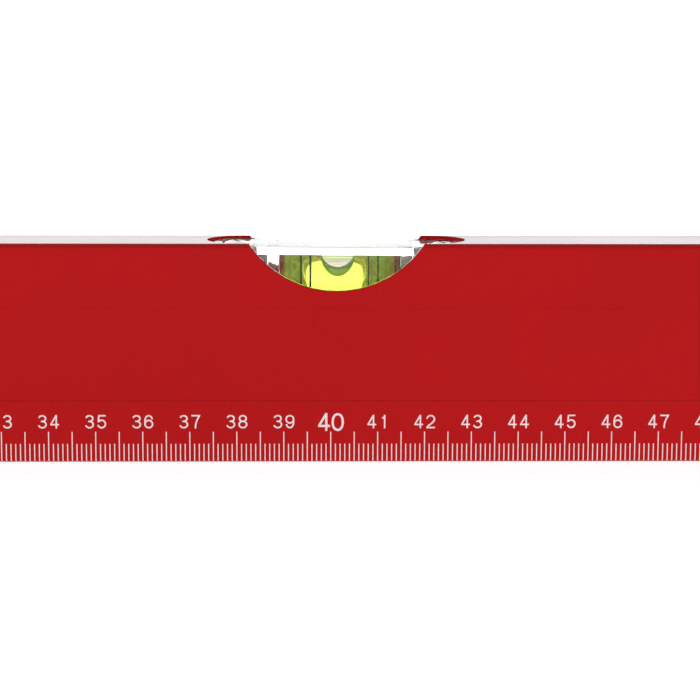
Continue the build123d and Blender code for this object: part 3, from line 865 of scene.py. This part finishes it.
def add_box(geometry, x0, x1, half_width, z0, z1):
    corners = ((x0, -half_width), (x1, -half_width), (x1, half_width), (x0, half_width))
    low, top = ([geometry.verts.new((x, y, z)) for x, y in corners] for z in (z0, z1))
    geometry.faces.new(low[::-1])
    geometry.faces.new(top)
    for k in range(4):
        m = (k + 1) % 4
        geometry.faces.new((low[k], low[m], top[m], top[k]))


def is_upright(edge):
    return abs(edge.verts[0].co.z - edge.verts[1].co.z) > 1.0


def round_edges(geometry, edges, offset, segments):
    bmesh.ops.bevel(geometry, geom=edges, offset=offset, segments=segments,
                    affect="EDGES", profile=0.5)


def ear_plate():
    mesh = bpy.data.meshes.new("vial_block")
    with editing(mesh) as geometry:
        add_box(geometry, -EAR_HALF, EAR_HALF, EAR_W / 2, -EAR_T, 0.0)
        bmesh.ops.recalc_face_normals(geometry, faces=geometry.faces)
        round_edges(geometry, [e for e in geometry.edges if is_upright(e)], EAR_CORNER_R, 20)
        rims = [e for e in geometry.edges
                if len(e.link_faces) == 2 and e.calc_face_angle() > math.radians(60)]
        round_edges(geometry, rims, 0.16, 3)
        # a fine step just inside the edge of the top face
        geometry.faces.ensure_lookup_table()
        top_face = max(geometry.faces,
                       key=lambda f: f.calc_center_median().z + f.calc_area() * 1e-3)
        for thickness, depth in ((0.24, 0.0), (0.12, -0.13)):
            bmesh.ops.inset_region(geometry, faces=[top_face], thickness=thickness, depth=depth,
                                   use_even_offset=True)
    return link_object("vial_block", mesh)


def barrel():
    """Round outside of the vial, under the ear plate."""
    profile = rod_profile(OUTER_R, OUTER_HALF, OUTER_RIM, OUTER_HALF - OUTER_RIM, (30, 60))
    return solid("barrel", *lathe_along(profile, 128, lambda x, y, z: (x, y, BARREL_Z + z)))


def neck():
    """Upright web between the ear plate and the barrel."""
    end, high, low = OUTER_HALF - OVERLAP, -EAR_T + 0.4, -EAR_T - 0.9
    outline = [(-end, high), (-end, low), (end, low), (end, high)]
    verts = [(x, y, z) for y in (-NECK_W / 2, NECK_W / 2) for x, z in outline]
    faces = [(0, 1, 2, 3), (7, 6, 5, 4)]
    faces += [(k, 4 + k, 4 + (k + 1) % 4, (k + 1) % 4) for k in range(4)]
    return solid("neck", verts, faces)


def cheek(side):
    """Flat cheek at one end of the barrel, its upright edges and its foot rounded."""
    mesh = bpy.data.meshes.new("cheek")
    with editing(mesh) as geometry:
        add_box(geometry, OUTER_HALF - OVERLAP, CHEEK_END, CHEEK_W / 2, -CHEEK_DEEP, -EAR_T / 2)
        edges = [e for e in geometry.edges
                 if max(v.co.z for v in e.verts) < -EAR_T or is_upright(e)]
        round_edges(geometry, edges, 0.25, 3)
        if side < 0:
            for vert in geometry.verts:
                vert.co.x = -vert.co.x
        bmesh.ops.recalc_face_normals(geometry, faces=geometry.faces)
        # else the union drops slivers, and not the same ones each run
        bmesh.ops.triangulate(geometry, faces=geometry.faces)
    return link_object("cheek", mesh)


def screw_seat(centre):
    """Stepped hole through the ear plate, as a cutter."""
    profile = [(0.0, 0.5), (3.45, 0.5), (3.45, 0.0), (3.2, -0.2), (3.2, -0.9), (1.75, -0.9),
               (1.75, -EAR_T - 0.5), (0.0, -EAR_T - 0.5)]
    verts, faces = lathe(profile, 48)
    return solid("seat", [(x + centre, y, z) for x, y, z in verts], faces)


def vial_block():
    """One closed solid without a bore: the liquid is another medium inside it."""
    block = ear_plate()
    parts = [("UNION", barrel()), ("UNION", neck())]
    parts += [("UNION", cheek(side)) for side in (-1, 1)]
    parts += [("DIFFERENCE", screw_seat(x)) for x in (-SEAT_X, SEAT_X)]
    for operation, part in parts:
        modifier = block.modifiers.new(operation, "BOOLEAN")
        modifier.operation = operation
        modifier.solver = "EXACT"
        modifier.object = part
    mesh = evaluated_mesh(block)
    block.modifiers.clear()
    block.data = mesh
    for _, part in parts:
        bpy.data.objects.remove(part)
    # close any sliver that the union leaves out
    with editing(mesh) as geometry:
        rims = [e for e in geometry.edges if len(e.link_faces) == 1]
        bmesh.ops.holes_fill(geometry, edges=rims, sides=4)
        bmesh.ops.recalc_face_normals(geometry, faces=geometry.faces)
    for vert in mesh.vertices:
        vert.co = in_vial(*vert.co)
    face_outwards(mesh)
    shade(block, sharp_angle=35)
    assign(block, BLOCK_ACRYLIC)
    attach(block, "level")
    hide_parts("centre_vial_block")


def centre_liquid():
    profile = capsule_profile(BARREL_R, BARREL_HALF, rounding=0.5, crown=0.03)
    verts, faces = lathe_along(profile, 96, lambda x, y, z: in_vial(x, y, BARREL_Z + z))
    mesh_object("vial_liquid", verts, faces, LIQUID, "level", smooth=True, sharp_angle=60,
                slot="liquid_green", replaces="centre_vial_liquid")


def centre_bubble_field(point):
    """A ball cut by the bore, the two blended where they meet."""
    x, y, z = point
    ball = math.sqrt((x - BUBBLE_X) ** 2 + y * y + (z - BUBBLE_Z) ** 2) - BUBBLE_R
    bore = math.hypot(y, z - BARREL_Z) - (BARREL_R - BUBBLE_GAP)
    blend = max(BUBBLE_BLEND - abs(ball - bore), 0.0) / BUBBLE_BLEND
    return max(ball, bore) + blend * blend * BUBBLE_BLEND * 0.25


def centre_bubble():
    verts, faces = dome(centre_bubble_field, (BUBBLE_X, 0, BUBBLE_Z - 1.0),
                        rings=48, segments=72, reach=12.0)
    bore = dict(barrel_z=VIAL_TOP + BARREL_Z, barrel_r=BARREL_R,
                slope=math.tan(math.radians(VIAL_TILT)))
    mesh_object("vial_bubble", [in_vial(*v) for v in verts], faces,
                air_bubble("air_centre", bore), "centre_bubble", smooth=True,
                slot="bubble_clear", replaces="centre_vial_bubble")


vial_block()
centre_liquid()
centre_bubble()


# --------------------------------------------------------------------------- end vials
def end_vial(name, x, axis):
    """Tube, liquid and bubble of the vial at x mm, its plugged end towards axis."""
    centre = Vector((x * MM, 0, END_VIAL_Z * MM))
    along = Vector(axis).normalized()
    across = Vector((0, -1, 0))
    side = along.cross(across)

    def place(s, a, b):
        return centre + (along * s + across * a + side * b) * MM

    # the tube has no bore
    profile = rod_profile(TUBE_R, TUBE_HALF, TUBE_RIM, TUBE_STRAIGHT, (20, 40, 60, 80))
    mesh_object(name + "_tube", *lathe_along(profile, 72, place), ACRYLIC, "level", smooth=True,
                sharp_angle=40, slot="acrylic_clear", replaces=name + "_vial_tube")

    # full column between the floor and the plug
    middle, half = 0.5 * (COLUMN_LO + COLUMN_HI), 0.5 * (COLUMN_HI - COLUMN_LO)
    profile = capsule_profile(COLUMN_R, half, rounding=0.8, crown=0.05)
    verts, faces = lathe_along(profile, 64, lambda s, a, b: place(s + middle, a, b))
    mesh_object(name + "_liquid", verts, faces, LIQUID, "level", smooth=True, sharp_angle=60,
                slot="liquid_green", replaces=name + "_vial_liquid")

    # egg-shaped bubble resting under the plug
    verts, faces = dome(
        lambda p: (p[0] / EGG_R) ** 2 + (p[1] / EGG_R) ** 2 + (p[2] / EGG_HALF) ** 2 - 1,
        (0, 0, 0), rings=32, segments=48, reach=6.0)
    egg = PLUG_FACE - EGG_HALF - EGG_GAP
    mesh_object(name + "_bubble", [place(egg + c, a, b) for a, b, c in verts], faces, AIR,
                name + "_bubble", smooth=True, slot="bubble_clear",
                replaces=name + "_vial_bubble")


end_vial("plumb", END_VIAL_X, (0, 0, 1))
end_vial("angle", -END_VIAL_X, (math.sqrt(0.5), 0, math.sqrt(0.5)))

# --------------------------------------------------------------------------- CAD pieces
for name, obj in frame["nodes"].items():
    if name == "level_body":
        assign(obj, RED)
    elif name.startswith("end_cap"):
        assign(obj, CAP)
    elif "_bezel_" in name and not name.endswith("screws"):
        assign(obj, BEZEL)
    elif name.endswith("_screws"):
        assign(obj, PLATED)
    elif name.endswith("_rings"):
        assign(obj, RING)
    elif name.endswith("_sleeves"):
        assign(obj, RUBBER)
    elif name == "centre_vial_plug":
        assign(obj, PLUG_CLEAR)
    elif name.endswith("_plug"):
        assign(obj, PLUG)


# --------------------------------------------------------------------------- stage
def floor():
    """White floor just under the foot, glowing more strongly behind the level."""
    half, z = 40.0, -0.02 * MM
    mesh = bpy.data.meshes.new("floor")
    corners = [(-half, -half, z), (half, -half, z), (half, half, z), (-half, half, z)]
    mesh.from_pydata(corners, [], [(0, 1, 2, 3)])
    obj = link_object("floor", mesh)
    graph = MaterialGraph("floor_white")
    diffuse = graph.node("ShaderNodeBsdfDiffuse", Color=(0.42, 0.42, 0.42))
    y = graph.split(graph.place)["Y"]
    strength = graph.remap(y, span=(0.02, 0.20), to=(0.74, 1.25), smooth=True)
    glow = graph.node("ShaderNodeEmission", Color=(1, 1, 1), Strength=strength)
    mesh.materials.append(graph.finish(graph.join("ShaderNodeAddShader", (diffuse, glow))))


def studio():
    """White surroundings, brighter behind the level and even overhead."""
    world = bpy.data.worlds.new("studio")
    bpy.context.scene.world = world
    world.use_nodes = True
    graph = Graph(world.node_tree, "Generated")
    background = world.node_tree.nodes["Background"]
    graph.feed(background.inputs["Color"], (1, 1, 1))
    _, y, z = graph.split(graph.place)
    sides = graph.remap(y, span=(-0.35, 0.15), to=(0.88, 1.55), smooth=True)
    overhead = graph.remap(z, span=(0.30, 0.85), smooth=True)
    overhead_strength = 0.85
    strength = graph.node("ShaderNodeMix", {"data_type": "FLOAT"})
    for index, value in ((0, overhead), (2, sides), (3, overhead_strength)):
        graph.feed(strength.inputs[index], value)
    graph.feed(background.inputs["Strength"], strength)


def render_settings():
    scene = bpy.context.scene
    scene.view_settings.view_transform = "Standard"
    scene.view_settings.look = "None"
    scene.view_settings.exposure = 0.0
    scene.cycles.max_bounces = 24
    scene.cycles.transmission_bounces = 24
    scene.cycles.transparent_max_bounces = 16


def camera():
    """Long lens in front of the scale face, looking slightly down."""
    position = Vector((-9.37, -550.0, 108.28)) * MM
    yaw, pitch, roll = math.radians(-1.293), math.radians(-8.826), math.radians(-0.196)
    data = bpy.data.cameras.new("camera")
    data.sensor_width = 36.0
    data.sensor_fit = "HORIZONTAL"
    data.lens = 132.809143
    data.clip_start = 0.005
    data.clip_end = 200.0
    basis = (Matrix.Rotation(yaw, 3, "Z") @ Matrix.Rotation(pitch, 3, "X")
             @ Matrix.Rotation(roll, 3, "Y"))
    right, forward, up = basis.col
    rotation = Matrix((right, up, -forward)).transposed()
    obj = bpy.data.objects.new("camera", data)
    obj.matrix_world = Matrix.Translation(position) @ rotation.to_4x4()
    bpy.context.scene.collection.objects.link(obj)
    bpy.context.scene.camera = obj


floor()
studio()
render_settings()
camera()
